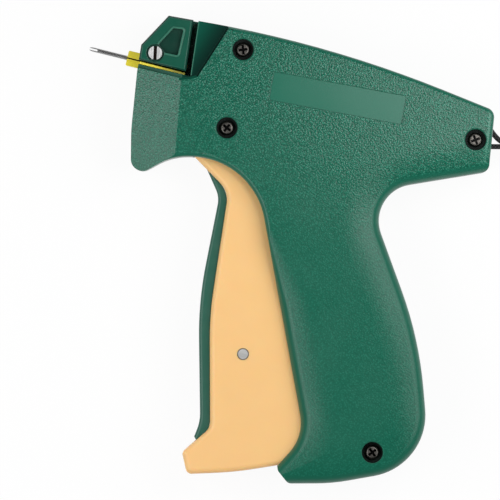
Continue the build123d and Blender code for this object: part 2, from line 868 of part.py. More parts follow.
# Trigger: a hollow body open at the back, hung by two eyes on a sleeve round the upper post
bush_radius = screw_post_diameter / 2 + fit_gap + bush_thickness
with BuildPart() as trigger:
    extrude(outline(trigger_outline_shares, mid), amount=trigger_half, both=True)
    rims = [edge for face in faces().filter_by(Axis.Z) for edge in face.outer_wire().edges()]
    sole_end = at(sole_shares)[0]
    horn_foot = at(horn_foot_shares)[1]
    front_edges = [edge for edge in rims if edge.center().X < sole_end and edge.center().Y < horn_foot]
    fillet(front_edges, radius=trigger_edge_round)
    column(pivot, trigger_eye_diameter / 2, mid - trigger_half, mid + trigger_half)
    inner = trigger_half - trigger_plate
    with BuildSketch(Plane.XY.offset(mid - inner)) as pocket:
        with Locations((trigger_front_wall, 0)):
            add(outline(trigger_outline_shares, 0))
        with Locations(pivot):
            Circle(trigger_eye_diameter / 2 + free_gap)
        floor = at((0, trigger_floor_share))[1]
        with Locations((pivot[0], floor - tool_height / 2)):
            Rectangle(head_length * 2, tool_height, mode=Mode.SUBTRACT)
    extrude(amount=2 * inner, mode=Mode.SUBTRACT)
    column(pivot, bush_radius + fit_gap, 0, body_thickness, mode=Mode.SUBTRACT)
    column(pin_stops[0], trigger_pin_diameter / 2 + fit_gap, 0, body_thickness, mode=Mode.SUBTRACT)
trigger.part.label = "trigger"
export_step(trigger.part, "parts/trigger.step")


def stands_off(edge, line):
    spot = edge.center()
    return line.distance_to((spot.X, spot.Y, mid))


with BuildPart() as trigger_strip:
    with BuildSketch(Plane.XY.offset(mid)) as strip_face:
        add(outline(strip_outline_shares, 0))
        with BuildSketch(mode=Mode.PRIVATE) as backing:
            add(outline(trigger_outline_shares, 0))
            offset(amount=fit_gap, mode=Mode.REPLACE)
        add(backing.sketch, mode=Mode.SUBTRACT)
    extrude(amount=strip_width / 2, both=True)
    backing_line = outline(trigger_outline_shares, mid).wire()
    rims = [edge for face in faces().filter_by(Axis.Z) for edge in face.outer_wire().edges()]
    fillet([edge for edge in rims if stands_off(edge, backing_line) > strip_round], radius=strip_round)
trigger_strip.part.label = "trigger_strip"
export_step(trigger_strip.part, "parts/trigger_strip.step")

with BuildPart() as trigger_pin:
    reach = trigger_half + trigger_pin_proud
    column(pin_stops[0], trigger_pin_diameter / 2, mid - reach, mid + reach)
trigger_pin.part.label = "trigger_pin"
export_step(trigger_pin.part, "parts/trigger_pin.step")

with BuildPart() as trigger_bush:
    column(pivot, bush_radius, mid - trigger_half, mid + trigger_half)
    column(pivot, bush_radius - bush_thickness, mid - trigger_half, mid + trigger_half, mode=Mode.SUBTRACT)
trigger_bush.part.label = "trigger_bush"
export_step(trigger_bush.part, "parts/trigger_bush.step")

# Drive lever: its slot and fork follow the tracks of the two pins that it links
lever_low = mid - lever_thickness / 2
fork_angle = bearing(fulcrum, slider_rest)
fork_reach = math.dist(fulcrum, fork_track[0])
fork_near = math.dist(fulcrum, fork_track[1]) - slider_pin_diameter / 2 - slot_gap
fork_tip = fork_reach + slider_pin_diameter / 2 + fork_end_wall
slot_radius = trigger_pin_diameter / 2 + slot_gap
lean = math.radians(lever_swing / 2)
gate_half = slider_length / 2 - slider_end_wall
fork_room = gate_half - fork_gap - slider_height / 2 * math.tan(lean)
lever_tip_width = 2 * fork_room * math.cos(lean)
with BuildPart() as drive_lever:
    with BuildSketch(Plane.XY.offset(lever_low)) as lever_face:
        with Locations(fulcrum):
            Circle(lever_boss_diameter / 2)
        with Locations(Location(between(fulcrum, slider_rest, fork_tip / fork_reach / 2), fork_angle)):
            Rectangle(fork_tip, lever_tip_width)
        with BuildLine(mode=Mode.PRIVATE) as pin_line:
            ThreePointArc(pin_track[0], pin_track[1], pin_track[2])
        SlotArc(pin_line.edge(), 2 * (slot_radius + slot_end_wall))
        arm_angle = bearing(fulcrum, pin_track[2])
        arm_length = math.dist(fulcrum, pin_track[2])
        with Locations(Location(between(fulcrum, pin_track[2], 1 / 2), arm_angle)):
            Rectangle(arm_length, lever_arm_width)
        SlotArc(pin_line.edge(), 2 * slot_radius, mode=Mode.SUBTRACT)
        fork_length = fork_tip + fork_end_wall - fork_near
        fork_share = (fork_near + fork_length / 2) / fork_reach
        with Locations(Location(between(fulcrum, slider_rest, fork_share), fork_angle)):
            Rectangle(fork_length, slider_pin_diameter + 2 * slot_gap, mode=Mode.SUBTRACT)
        with Locations(fulcrum):
            Circle(lever_pin_diameter / 2 + fit_gap, mode=Mode.SUBTRACT)
    extrude(amount=lever_thickness)
drive_lever.part.label = "drive_lever"
export_step(drive_lever.part, "parts/drive_lever.step")

with BuildPart() as lever_bracket:
    with BuildSketch(Plane.XY.offset(mid - bracket_half)) as bracket_face:
        with Locations(fulcrum):
            Circle(bracket_nose_diameter / 2)
        with Locations((fulcrum[0] + bracket_reach / 2, fulcrum[1])):
            Rectangle(bracket_reach, bracket_height)
        with Locations(fulcrum):
            Circle(lever_pin_diameter / 2 + fit_gap, mode=Mode.SUBTRACT)
        with Locations(*bracket_pegs):
            Circle(bracket_peg_diameter / 2 + fit_gap, mode=Mode.SUBTRACT)
    extrude(amount=2 * bracket_half)
    block(
        (fulcrum[0] - bracket_reach, fulcrum[1] - bracket_height),
        (fulcrum[0] + bracket_reach - bracket_web, fulcrum[1] + bracket_height),
        mid - bracket_half + bracket_plate,
        mid + bracket_half - bracket_plate,
        mode=Mode.SUBTRACT,
    )
lever_bracket.part.label = "lever_bracket"
export_step(lever_bracket.part, "parts/lever_bracket.step")

with BuildPart() as lever_pin:
    pin_half = bracket_half + lever_pin_proud
    column(fulcrum, lever_pin_diameter / 2, mid - pin_half, mid + pin_half)
lever_pin.part.label = "lever_pin"
export_step(lever_pin.part, "parts/lever_pin.step")

# Slider and what it carries
slider_front = slider_rest[0] - slider_length / 2
finger_top = axis_up - finger_drop
with BuildPart() as slider:
    block(
        (slider_front, axis_up - slider_height / 2),
        (slider_front + slider_length, axis_up + slider_height / 2),
        mid - slider_width / 2,
        mid + slider_width / 2,
    )
    fillet(edges().filter_by(Axis.X), radius=slider_round)
    block(
        (slider_rest[0] - gate_half, axis_up - slider_height),
        (slider_rest[0] + gate_half, axis_up + slider_height),
        mid - lever_thickness / 2 - free_gap,
        mid + lever_thickness / 2 + free_gap,
        mode=Mode.SUBTRACT,
    )
    column(slider_rest, slider_pin_diameter / 2 + fit_gap, 0, body_thickness, mode=Mode.SUBTRACT)
    bore_between((slider_front, axis_up, mid), (slider_rest[0], axis_up, mid), rod_diameter / 2 + fit_gap)
    block(
        (slider_front, finger_top - finger_thickness - fit_gap),
        (slider_front + finger_hold, finger_top + fit_gap),
        mid - finger_width / 2 - fit_gap,
        mid + finger_width / 2 + fit_gap,
        mode=Mode.SUBTRACT,
    )
slider.part.label = "slider"
export_step(slider.part, "parts/slider.step")

with BuildPart() as slider_pin:
    column(slider_rest, slider_pin_diameter / 2, mid - slider_width / 2, mid + slider_width / 2)
slider_pin.part.label = "slider_pin"
export_step(slider_pin.part, "parts/slider_pin.step")

rod_tip = clip_foot[0] + clip_slot_width / 2 + rod_setback
with BuildPart() as ejector_rod:
    with BuildSketch(Plane(origin=(rod_tip, axis_up, mid), x_dir=(0, 1, 0), z_dir=(1, 0, 0))):
        Circle(rod_diameter / 2)
    extrude(amount=slider_front + slider_end_wall - rod_tip)
ejector_rod.part.label = "ejector_rod"
export_step(ejector_rod.part, "parts/ejector_rod.step")

with BuildPart() as feed_finger:
    block(
        (slider_front - finger_length, finger_top - finger_thickness),
        (slider_front + finger_hold - fit_gap, finger_top),
        mid - finger_width / 2,
        mid + finger_width / 2,
    )
    block(
        (slider_front - finger_length, finger_top - finger_thickness - finger_hook),
        (slider_front - finger_length + finger_thickness, finger_top),
        mid - finger_width / 2,
        mid + finger_width / 2,
    )
feed_finger.part.label = "feed_finger"
export_step(feed_finger.part, "parts/feed_finger.step")

# Return spring round the rod, from the guide wall to the slider
spring_start = clip_line(axis_up, clip_slot_width / 2 + guide_wall)[0] + spring_end_gap + spring_wire / 2
spring_end = slider_front - spring_end_gap - spring_wire / 2
spring_radius = (spring_diameter - spring_wire) / 2
spring_pitch = (spring_end - spring_start) / spring_coil_count
with BuildPart() as return_spring:
    with BuildLine() as coil:
        Helix(
            spring_pitch,
            spring_end - spring_start,
            spring_radius,
            center=(spring_start, axis_up, mid),
            direction=(1, 0, 0),
        )
    with BuildSketch(Plane(origin=coil.line @ 0, z_dir=coil.line % 0)):
        Circle(spring_wire / 2)
    sweep(path=coil.wire(), is_frenet=True)
return_spring.part.label = "return_spring"
export_step(return_spring.part, "parts/return_spring.step")
print("spring", return_spring.part.volume, math.pi * spring_wire**2 / 4 * coil.wire().length)

# Feed wheel, its axle and the leaf that keeps it from running back
with BuildPart() as feed_wheel:
    with BuildSketch(Plane.XY.offset(mid - wheel_thickness / 2)) as wheel_face:
        with BuildLine():
            step = 360 / wheel_tooth_count
            ring = []
            for tooth in range(wheel_tooth_count):
                root = (wheel_place[0] + wheel_root_diameter / 2, wheel_place[1])
                tip = (wheel_place[0] + wheel_diameter / 2, wheel_place[1])
                ring += [turned(tip, wheel_place, tooth * step), turned(root, wheel_place, tooth * step)]
            Polyline(*ring, close=True)
        make_face()
        with Locations(wheel_place):
            Circle(axle_diameter / 2 + fit_gap, mode=Mode.SUBTRACT)
    extrude(amount=wheel_thickness)
feed_wheel.part.label = "feed_wheel"
export_step(feed_wheel.part, "parts/feed_wheel.step")

with BuildPart() as feed_axle:
    column(wheel_place, axle_diameter / 2, side_wall, body_thickness - side_wall)
feed_axle.part.label = "feed_axle"
export_step(feed_axle.part, "parts/feed_axle.step")

with BuildPart() as check_leaf:
    block(
        (leaf_left, leaf_foot),
        (leaf_left + leaf_thickness, leaf_foot + leaf_length),
        mid - leaf_width / 2,
        mid + leaf_width / 2,
    )
check_leaf.part.label = "check_leaf"
export_step(check_leaf.part, "parts/check_leaf.step")

# Lanyard: straight runs and tangent arcs, both ends inside the rear wall
runs = [math.dist(cord_route[step], cord_route[step + 1]) for step in range(len(cord_route) - 1)]
triples = zip(cord_route, cord_route[1:], cord_route[2:])
bends = [bend_radius(*triple, cord_bend_share) for triple in triples]
with BuildPart() as lanyard_cord:
    with BuildLine() as route:
        FilletPolyline(*cord_route, radius=bends)
    with BuildSketch(Plane(origin=route.wire() @ 0, z_dir=route.wire() % 0)):
        Circle(cord_diameter / 2)
    sweep(path=route.wire())
lanyard_cord.part.label = "lanyard_cord"
export_step(lanyard_cord.part, "parts/lanyard_cord.step")
print("cord runs", [round(run, 1) for run in runs], "bends", [round(bend, 1) for bend in bends])
cord_length = route.wire().length
print("cord", lanyard_cord.part.volume, math.pi * cord_diameter**2 / 4 * cord_length, cord_length)
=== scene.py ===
import math
import bmesh
import bpy
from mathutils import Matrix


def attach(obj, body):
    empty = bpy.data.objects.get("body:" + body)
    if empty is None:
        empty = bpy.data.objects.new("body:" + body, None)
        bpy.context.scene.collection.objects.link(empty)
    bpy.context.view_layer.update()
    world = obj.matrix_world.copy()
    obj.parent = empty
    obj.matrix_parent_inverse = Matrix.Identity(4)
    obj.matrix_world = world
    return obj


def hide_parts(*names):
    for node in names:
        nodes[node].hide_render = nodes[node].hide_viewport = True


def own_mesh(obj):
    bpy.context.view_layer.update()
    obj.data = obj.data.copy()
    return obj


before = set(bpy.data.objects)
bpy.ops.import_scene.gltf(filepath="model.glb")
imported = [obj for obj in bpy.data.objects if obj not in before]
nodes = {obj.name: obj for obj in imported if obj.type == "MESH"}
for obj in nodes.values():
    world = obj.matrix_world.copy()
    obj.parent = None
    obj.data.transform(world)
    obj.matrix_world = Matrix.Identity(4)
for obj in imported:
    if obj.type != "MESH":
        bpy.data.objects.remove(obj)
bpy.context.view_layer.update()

scene = bpy.context.scene
scene.view_settings.view_transform = "Standard"
print("frame loaded:", len(nodes), "pieces")

# camera straight above the tool, which lies on its right side
photoCamera = {
    "roll": 14.0,  # degrees, the needle points a little upwards
    "across": 0.1825,  # metres of table across the picture
    "middle": (-0.0012, 0.0034),
    "level": 0.020,  # height at which the width is measured
    "above": 2.5,
    "sensor": 36.0,
    "farthest": 20.0,
}
lensData = bpy.data.cameras.new("photoCamera")
lensData.sensor_width = photoCamera["sensor"]
lensData.lens = photoCamera["sensor"] * photoCamera["above"] / photoCamera["across"]
lensData.clip_end = photoCamera["farthest"]
camera = bpy.data.objects.new("photoCamera", lensData)
camera.location = (*photoCamera["middle"], photoCamera["level"] + photoCamera["above"])
camera.rotation_euler = (0.0, 0.0, math.radians(photoCamera["roll"]))
scene.collection.objects.link(camera)
scene.camera = camera
print("camera set, lens", round(lensData.lens), "mm")

cloudSpan = (0.3, 0.7)  # most values of a noise texture lie here
# paler edges stand for edge wear and for a painted highlight where a rounded edge catches the light
edgeWearAndHighlight = {
    "samples": 8,
    "turned": (0.95, 0.70),  # how far the rounded normal leaves the flat one
    "share": 0.6,
}


def newFinish(name):
    finish = bpy.data.materials.new(name)
    finish.use_nodes = True
    tree = finish.node_tree
    return finish, tree, tree.nodes["Principled BSDF"]


def addNode(tree, kind, inputs=None, **settings):
    node = tree.nodes.new(kind)
    for key, value in settings.items():
        setattr(node, key, value)
    for key, value in (inputs or {}).items():
        if isinstance(value, bpy.types.NodeSocket):
            tree.links.new(value, node.inputs[key])
        else:
            node.inputs[key].default_value = value
    return node


def mathOf(tree, operation, *values):
    return addNode(tree, "ShaderNodeMath", dict(enumerate(values)), operation=operation).outputs[0]


def product(tree, first, *others):
    for other in others:
        first = mathOf(tree, "MULTIPLY", first, other)
    return first


def below(tree, value, limit):
    return mathOf(tree, "LESS_THAN", value, limit)


def above(tree, value, limit):
    return mathOf(tree, "GREATER_THAN", value, limit)


def vectorOf(tree, operation, first, second, output="Vector"):
    return addNode(tree, "ShaderNodeVectorMath", {0: first, 1: second}, operation=operation).outputs[output]


def planDistance(tree, place, centre):
    fromAbove = vectorOf(tree, "MULTIPLY", place, (1.0, 1.0, 0.0))
    return vectorOf(tree, "DISTANCE", fromAbove, centre, "Value")


def axesOf(tree, vector):
    return addNode(tree, "ShaderNodeSeparateXYZ", {"Vector": vector}).outputs


def stretch(tree, value, low, high, toLow=0.0, toHigh=1.0, kind="SMOOTHSTEP"):
    inputs = {"Value": value, "From Min": low, "From Max": high, "To Min": toLow, "To Max": toHigh}
    return addNode(tree, "ShaderNodeMapRange", inputs, interpolation_type=kind).outputs["Result"]


def mixValues(tree, share, first, second):
    return stretch(tree, share, 0.0, 1.0, first, second, "LINEAR")


def mixColours(tree, share, first, second):
    inputs = {"Factor": share, 6: first, 7: second}  # 6 and 7 are the node's colour sockets
    return addNode(tree, "ShaderNodeMix", inputs, data_type="RGBA").outputs[2]


def cloudy(tree, place, size, detail=3.0, roughness=0.55):
    inputs = {"Vector": place, "Scale": 1.0 / size, "Detail": detail, "Roughness": roughness}
    return addNode(tree, "ShaderNodeTexNoise", inputs).outputs["Fac"]


def softEdge(tree, radius):
    # rounded normal of a moulded edge, and the share of edge wear and painted edge highlight on it
    bevel = addNode(tree, "ShaderNodeBevel", {"Radius": radius}, samples=edgeWearAndHighlight["samples"])
    soft = bevel.outputs["Normal"]
    flat = addNode(tree, "ShaderNodeNewGeometry").outputs["Normal"]
    turned = stretch(tree, vectorOf(tree, "DOT_PRODUCT", soft, flat, "Value"), *edgeWearAndHighlight["turned"])
    return soft, product(tree, turned, edgeWearAndHighlight["share"])


def bumpOut(tree, shader, height, depth, normal=None):
    bump = addNode(tree, "ShaderNodeBump", {"Height": height, "Distance": depth})
    if normal:
        tree.links.new(normal, bump.inputs["Normal"])
    tree.links.new(bump.outputs["Normal"], shader.inputs["Normal"])


def dress(finish, *names):
    for name in names:
        for slot in nodes[name].material_slots:
            slot.material = finish


# wrist cord: both ends in the rear face, the loop lies behind the tool
wristCord = {
    "route": (
        (0.0719, 0.0691, 0.0135),
        (0.0780, 0.0623, 0.0142),
        (0.0860, 0.0666, 0.0108),
        (0.097000, 0.069504, 0.00095),
        (0.110000, 0.066003, 0.00095),
        (0.116996, 0.054997, 0.00095),
        (0.112001, 0.044007, 0.00095),
        (0.099995, 0.044007, 0.00095),
        (0.094006, 0.053003, 0.002201),
        (0.091301, 0.060995, 0.006199),
        (0.086498, 0.064197, 0.010001),
        (0.0788, 0.0623, 0.0128),
        (0.0733, 0.0610, 0.0135),
    ),
    "thickness": 0.0019,
    "length": 0.1207,
    "steps": 12,  # between two points of the route
    "roundness": 4,
    "order": 3,
    "plaits": 95,  # crossings along the cord
    "strands": 4,
    "plaitDepth": 0.00012,
    "plaitCrowns": (0.2, 1.0),
    "black": (0.011, 0.011, 0.012, 1.0),
    "paler": (0.035, 0.035, 0.037, 1.0),
    "roughness": 0.7,
    "specular": 0.3,
}
cordLine = bpy.data.curves.new("wristCord", "CURVE")
cordLine.dimensions = "3D"
cordLine.resolution_u = wristCord["steps"]
cordLine.bevel_depth = 1.0  # scaled by each point's radius
cordLine.bevel_resolution = wristCord["roundness"]
cordLine.use_fill_caps = True
spline = cordLine.splines.new("NURBS")
spline.points.add(len(wristCord["route"]) - 1)
for point, position in zip(spline.points, wristCord["route"]):
    point.co = (*position, 1.0)
    point.radius = wristCord["thickness"] / 2
spline.order_u = wristCord["order"]
spline.use_endpoint_u = True
cord = bpy.data.objects.new("wristCord", cordLine)
scene.collection.objects.link(cord)
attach(cord, "housing")
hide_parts("lanyard_cord")

# plait from two screws of opposite hand, on the curve's own UV
plaited, tree, shader = newFinish("plaitedCord")
cordRun = axesOf(tree, addNode(tree, "ShaderNodeTexCoord").outputs["UV"])
along = product(tree, cordRun["X"], wristCord["plaits"] * 2 * math.pi)
around = product(tree, cordRun["Y"], wristCord["strands"] * 2 * math.pi)
rightHand = mathOf(tree, "SINE", mathOf(tree, "ADD", along, around))
leftHand = mathOf(tree, "SINE", mathOf(tree, "SUBTRACT", along, around))
plait = mathOf(tree, "MAXIMUM", rightHand, leftHand)
# the plait crowns take a paler black than the strands between them
plaitCrowns = stretch(tree, plait, *wristCord["plaitCrowns"])
shade = mixColours(tree, plaitCrowns, wristCord["black"], wristCord["paler"])
tree.links.new(shade, shader.inputs["Base Color"])
shader.inputs["Roughness"].default_value = wristCord["roughness"]
shader.inputs["Specular IOR Level"].default_value = wristCord["specular"]
bumpOut(tree, shader, plait, wristCord["plaitDepth"])
cordLine.materials.append(plaited)
print("wrist cord laid")

# green shells: pebbles on the level sides, fewer on the handle
grainGreen = {
    "green": (0.004, 0.120, 0.072, 1.0),
    "deep": (0.003, 0.086, 0.051, 1.0),
    "fleck": (0.024, 0.215, 0.140, 1.0),
    "paler": (0.055, 0.250, 0.170, 1.0),
    "pebble": 0.00062,
    "pebbleBlur": 0.5,
    "pebbleDepth": 0.00010,
    "fine": 0.000558,  # smaller grain on the pebbles
    "fineDetail": 2.0,
    "fineRoughness": 0.6,
    "deepHeights": (-0.25, 0.0),
    "fleckHeights": (0.08, 0.28),
    "patch": 0.02,  # patches of more and less sheen
    "patchDetail": 2.0,
    "headRoughness": (0.19, 0.26),
    "handleRoughness": (0.30, 0.38),
    "specular": (0.36, 0.50),  # handle, head
    "edge": 0.00025,
    "fade": (0.88, 0.935),  # how level a surface is before it carries grain
    "handleReach": (0.000, 0.068),  # from the handle up to the head
    "handleGrain": 0.42,  # share of the grain that the handle keeps
    "seam": 0.0135,
    "sunk": 0.02685,  # below this level the plaque and the ramp are cut in
}
grain, tree, shader = newFinish("grainGreen")
coords = addNode(tree, "ShaderNodeTexCoord")
place = coords.outputs["Object"]
spot = axesOf(tree, place)
facing = axesOf(tree, coords.outputs["Normal"])
level = stretch(tree, mathOf(tree, "ABSOLUTE", facing["Z"]), *grainGreen["fade"])
upper = above(tree, spot["Z"], grainGreen["seam"])
cutIn = product(tree, below(tree, spot["Z"], grainGreen["sunk"]), upper)
headShare = stretch(tree, spot["Y"], *grainGreen["handleReach"])

# plaque on the head's side, smooth, with a painted shadow line inside its edge
plaque = {
    "at": (0.01637, 0.06479, 0.0),
    "turn": 3.5,
    "half": (0.0247, 0.0054),
    "green": (0.014, 0.152, 0.096, 1.0),
    "rim": 0.00045,
    "rimShare": 0.8,
    "rimShadow": (0.003, 0.070, 0.042, 1.0),
}
plaqueTurn = (0.0, 0.0, math.radians(plaque["turn"]))
plaqueInputs = {"Vector": place, "Location": plaque["at"], "Rotation": plaqueTurn}
plaqueView = addNode(tree, "ShaderNodeMapping", plaqueInputs, vector_type="TEXTURE").outputs["Vector"]
plaqueSpot = axesOf(tree, plaqueView)
fromEnds = mathOf(tree, "SUBTRACT", plaque["half"][0], mathOf(tree, "ABSOLUTE", plaqueSpot["X"]))
fromSides = mathOf(tree, "SUBTRACT", plaque["half"][1], mathOf(tree, "ABSOLUTE", plaqueSpot["Y"]))
plaqueInset = mathOf(tree, "MINIMUM", fromEnds, fromSides)
onPlaque = product(tree, above(tree, plaqueInset, 0.0), cutIn)
onRimShadow = product(tree, onPlaque, stretch(tree, plaqueInset, 0.0, plaque["rim"], plaque["rimShare"], 0.0))

# smooth nose: a ledge in front, and behind it a ramp with painted shade that darkens it towards its slanted
# border
noseRamp = {
    "back": -0.0265,
    "low": 0.05805,
    "wallFacing": 0.6,  # walls that look to the top of the tool stay as they are
    "across": (0.945, -0.325, 0.0),  # square to that border
    "reach": (-0.0630, -0.0534),
    "light": (0.004, 0.088, 0.055, 1.0),
    "dark": (0.002, 0.026, 0.018, 1.0),
    "roughness": 0.16,
    "ledgeBack": -0.0405,
    "ledgeGreen": (0.002, 0.096, 0.058, 1.0),
    "ledgeRoughness": 0.55,
}
inFront = below(tree, spot["X"], noseRamp["back"])
onTop = above(tree, spot["Y"], noseRamp["low"])
onNose = product(tree, inFront, onTop, below(tree, facing["Y"], noseRamp["wallFacing"]))
onRamp = product(tree, onNose, cutIn)
onLedge = below(tree, spot["X"], noseRamp["ledgeBack"])
rampRun = vectorOf(tree, "DOT_PRODUCT", place, noseRamp["across"], "Value")
rampShadeShare = stretch(tree, rampRun, *noseRamp["reach"])
rampPaintedShade = mixColours(tree, rampShadeShare, noseRamp["light"], noseRamp["dark"])

# clip slot: painted shade, black inside, with a painted highlight line on the ramp's side
clipSlot = {
    "across": (0.9953, 0.0972, 0.0),
    "middle": -0.03255,
    "half": 0.00125,
    "depths": (0.0252, 0.0240),  # from the green down into the black
    "floor": 0.0106,
    "black": (0.001, 0.004, 0.003, 1.0),
    "lip": (0.00095, 0.00150),  # how far out the line reaches
    "lipFoot": 0.0600,
    "lipHighlight": (0.060, 0.250, 0.170, 1.0),
}
acrossSlot = vectorOf(tree, "DOT_PRODUCT", place, clipSlot["across"], "Value")
slotRun = mathOf(tree, "SUBTRACT", acrossSlot, clipSlot["middle"])
lipHighlightShare = stretch(tree, slotRun, *clipSlot["lip"], 1.0, 0.0)
onLipHighlight = product(tree, lipHighlightShare, above(tree, slotRun, 0.0), above(tree, spot["Y"], clipSlot["lipFoot"]))
inSlotShade = product(
    tree,
    below(tree, mathOf(tree, "ABSOLUTE", slotRun), clipSlot["half"]),
    above(tree, spot["Z"], clipSlot["floor"]),
    onNose,
    stretch(tree, spot["Z"], *clipSlot["depths"]),
)

# painted shade in the wells of the four screws
screwWells = {
    "at": (
        (-0.02132, 0.07360, 0.0),
        (-0.02011, 0.04456, 0.0),
        (0.06879, 0.06220, 0.0),
        (0.05986, -0.05738, 0.0),
    ),
    "radius": 0.0040,
    "depths": (0.0240, 0.0268),  # from the black up to the green
    "black": (0.000, 0.007, 0.005, 1.0),
    "roughness": 0.75,
}
wellAway = planDistance(tree, place, screwWells["at"][0])
for well in screwWells["at"][1:]:
    wellAway = mathOf(tree, "MINIMUM", wellAway, planDistance(tree, place, well))
inWell = product(tree, below(tree, wellAway, screwWells["radius"]), upper)
wellShade = product(tree, inWell, stretch(tree, spot["Z"], *screwWells["depths"], 1.0, 0.0))

# painted highlight line inside the rear edge
rearHighlight = {
    "across": (0.9898, 0.1422, 0.0),
    "line": 0.0812,
    "width": (0.0001, 0.0005),
    "ends": (0.0535, 0.0560),
    "share": 0.7,
}
acrossRear = vectorOf(tree, "DOT_PRODUCT", place, rearHighlight["across"], "Value")
rearAway = mathOf(tree, "ABSOLUTE", mathOf(tree, "SUBTRACT", acrossRear, rearHighlight["line"]))
rearHighlightShare = stretch(tree, rearAway, *rearHighlight["width"], rearHighlight["share"], 0.0)
onRearHighlight = product(tree, rearHighlightShare, stretch(tree, spot["Y"], *rearHighlight["ends"]), level)

# pebbles, which leave the plaque, the nose and the wells bare
bare = mathOf(tree, "MAXIMUM", mathOf(tree, "MAXIMUM", onPlaque, onRamp), inWell)
keptGrain = mixValues(tree, headShare, grainGreen["handleGrain"], 1.0)
strength = product(tree, level, mathOf(tree, "SUBTRACT", 1.0, bare), keptGrain)
pebbleInputs = {
    "Vector": place,
    "Scale": 1.0 / grainGreen["pebble"],
    "Smoothness": grainGreen["pebbleBlur"],
}
pebbles = addNode(tree, "ShaderNodeTexVoronoi", pebbleInputs, feature="SMOOTH_F1").outputs["Distance"]
fine = cloudy(tree, place, grainGreen["fine"], grainGreen["fineDetail"], grainGreen["fineRoughness"])
pebbleHeight = mathOf(tree, "SUBTRACT", fine, pebbles)
deepShare = stretch(tree, pebbleHeight, *grainGreen["deepHeights"])
tint = mixColours(tree, deepShare, grainGreen["deep"], grainGreen["green"])
fleckShare = stretch(tree, pebbleHeight, *grainGreen["fleckHeights"])
tint = mixColours(tree, fleckShare, tint, grainGreen["fleck"])

softNormal, wearAndHighlight = softEdge(tree, grainGreen["edge"])
noseShade = mixColours(tree, onLipHighlight, rampPaintedShade, clipSlot["lipHighlight"])
noseShade = mixColours(tree, onLedge, noseShade, noseRamp["ledgeGreen"])
shade = mixColours(tree, strength, grainGreen["green"], tint)
# painted shade and highlights laid over the grain: ramp shade, slot-lip highlight, plaque rim shadow,
# rear-edge highlight, edge wear with highlight, shade in the wells and the slot
for share, colour in (
    (onRamp, noseShade),
    (onPlaque, plaque["green"]),
    (onRimShadow, plaque["rimShadow"]),
    (onRearHighlight, grainGreen["paler"]),
    (wearAndHighlight, grainGreen["paler"]),
    (wellShade, screwWells["black"]),
    (inSlotShade, clipSlot["black"]),
):
    shade = mixColours(tree, share, shade, colour)
tree.links.new(shade, shader.inputs["Base Color"])

patches = cloudy(tree, place, grainGreen["patch"], grainGreen["patchDetail"])
headRough = stretch(tree, patches, *cloudSpan, *grainGreen["headRoughness"], "LINEAR")
handleRough = stretch(tree, patches, *cloudSpan, *grainGreen["handleRoughness"], "LINEAR")
noseRough = mixValues(tree, onLedge, noseRamp["roughness"], noseRamp["ledgeRoughness"])
rough = mixValues(tree, headShare, handleRough, headRough)
rough = mixValues(tree, onRamp, rough, noseRough)
rough = mixValues(tree, inWell, rough, screwWells["roughness"])
tree.links.new(rough, shader.inputs["Roughness"])
tree.links.new(mixValues(tree, headShare, *grainGreen["specular"]), shader.inputs["Specular IOR Level"])
bumpOut(tree, shader, product(tree, pebbleHeight, strength), grainGreen["pebbleDepth"], softNormal)
dress(grain, "left_housing", "right_housing")
print("green shells grained")

# smooth moulded plastics: nose block, finger strip, trigger, the needle's base and the nylon inside
mouldSkin = {
    "patch": 0.012,  # patches of the two colours
    "patchDetail": 2.0,
    "sheen": 0.004,  # patches of roughness
    "skin": 0.0006,
    "skinDetail": 2.0,
    "skinDepth": 0.000004,
    "topFacing": (0.3, 0.7),  # how far a face looks up before it takes a level's colour
}
smoothPlastics = {
    "noseGreen": {
        "pieces": ("nose_block",),
        "colours": ((0.008, 0.088, 0.055, 1.0), (0.011, 0.106, 0.067, 1.0)),
        "roughness": (0.18, 0.26),
        "specular": 0.5,
        "edge": 0.00025,
        "paler": (0.075, 0.270, 0.185, 1.0),
        "levels": (  # the colour comes in from the first height to the second
            # painted shade on the recess floor
            {"heights": (0.02560, 0.02552), "colour": (0.006, 0.046, 0.031, 1.0)},  # recess floor
            # painted highlight on the bead round it
            {"heights": (0.02582, 0.02590), "colour": (0.040, 0.180, 0.120, 1.0)},  # bead round it
        ),
    },
    "stripGreen": {
        "pieces": ("trigger_strip",),
        "colours": ((0.012, 0.098, 0.064, 1.0), (0.018, 0.118, 0.078, 1.0)),
        "roughness": (0.34, 0.44),
        "specular": 0.5,
        "edge": 0.0003,
        "paler": (0.060, 0.200, 0.140, 1.0),
    },
    "tanTrigger": {
        "pieces": ("trigger",),
        "colours": ((0.955, 0.574, 0.237, 1.0), (0.985, 0.600, 0.253, 1.0)),
        "roughness": (0.34, 0.44),
        "specular": 0.4,
        "edge": 0.0002,
        "paler": (0.95, 0.66, 0.36, 1.0),
        "glow": {"share": 0.25, "depth": 0.003, "radius": (1.0, 0.45, 0.18)},  # light soaks into it
    },
    "yellowBase": {
        "pieces": ("needle_base",),
        "colours": ((0.98, 0.80, 0.055, 1.0), (1.0, 0.86, 0.075, 1.0)),
        "roughness": (0.22, 0.32),
        "specular": 0.5,
        "edge": 0.0002,
        "paler": (0.95, 0.85, 0.20, 1.0),
    },
    "blackNylon": {
        "pieces": ("drive_lever", "slider"),
        "colours": ((0.014, 0.014, 0.015, 1.0), (0.024, 0.024, 0.026, 1.0)),
        "roughness": (0.40, 0.55),
        "specular": 0.4,
        "edge": 0.0002,
        "paler": (0.05, 0.05, 0.05, 1.0),
    },
    "whiteNylon": {
        "pieces": ("feed_wheel", "trigger_bush"),
        "colours": ((0.74, 0.72, 0.66, 1.0), (0.80, 0.78, 0.72, 1.0)),
        "roughness": (0.40, 0.52),
        "specular": 0.4,
        "edge": 0.0002,
        "paler": (0.82, 0.81, 0.77, 1.0),
    },
}
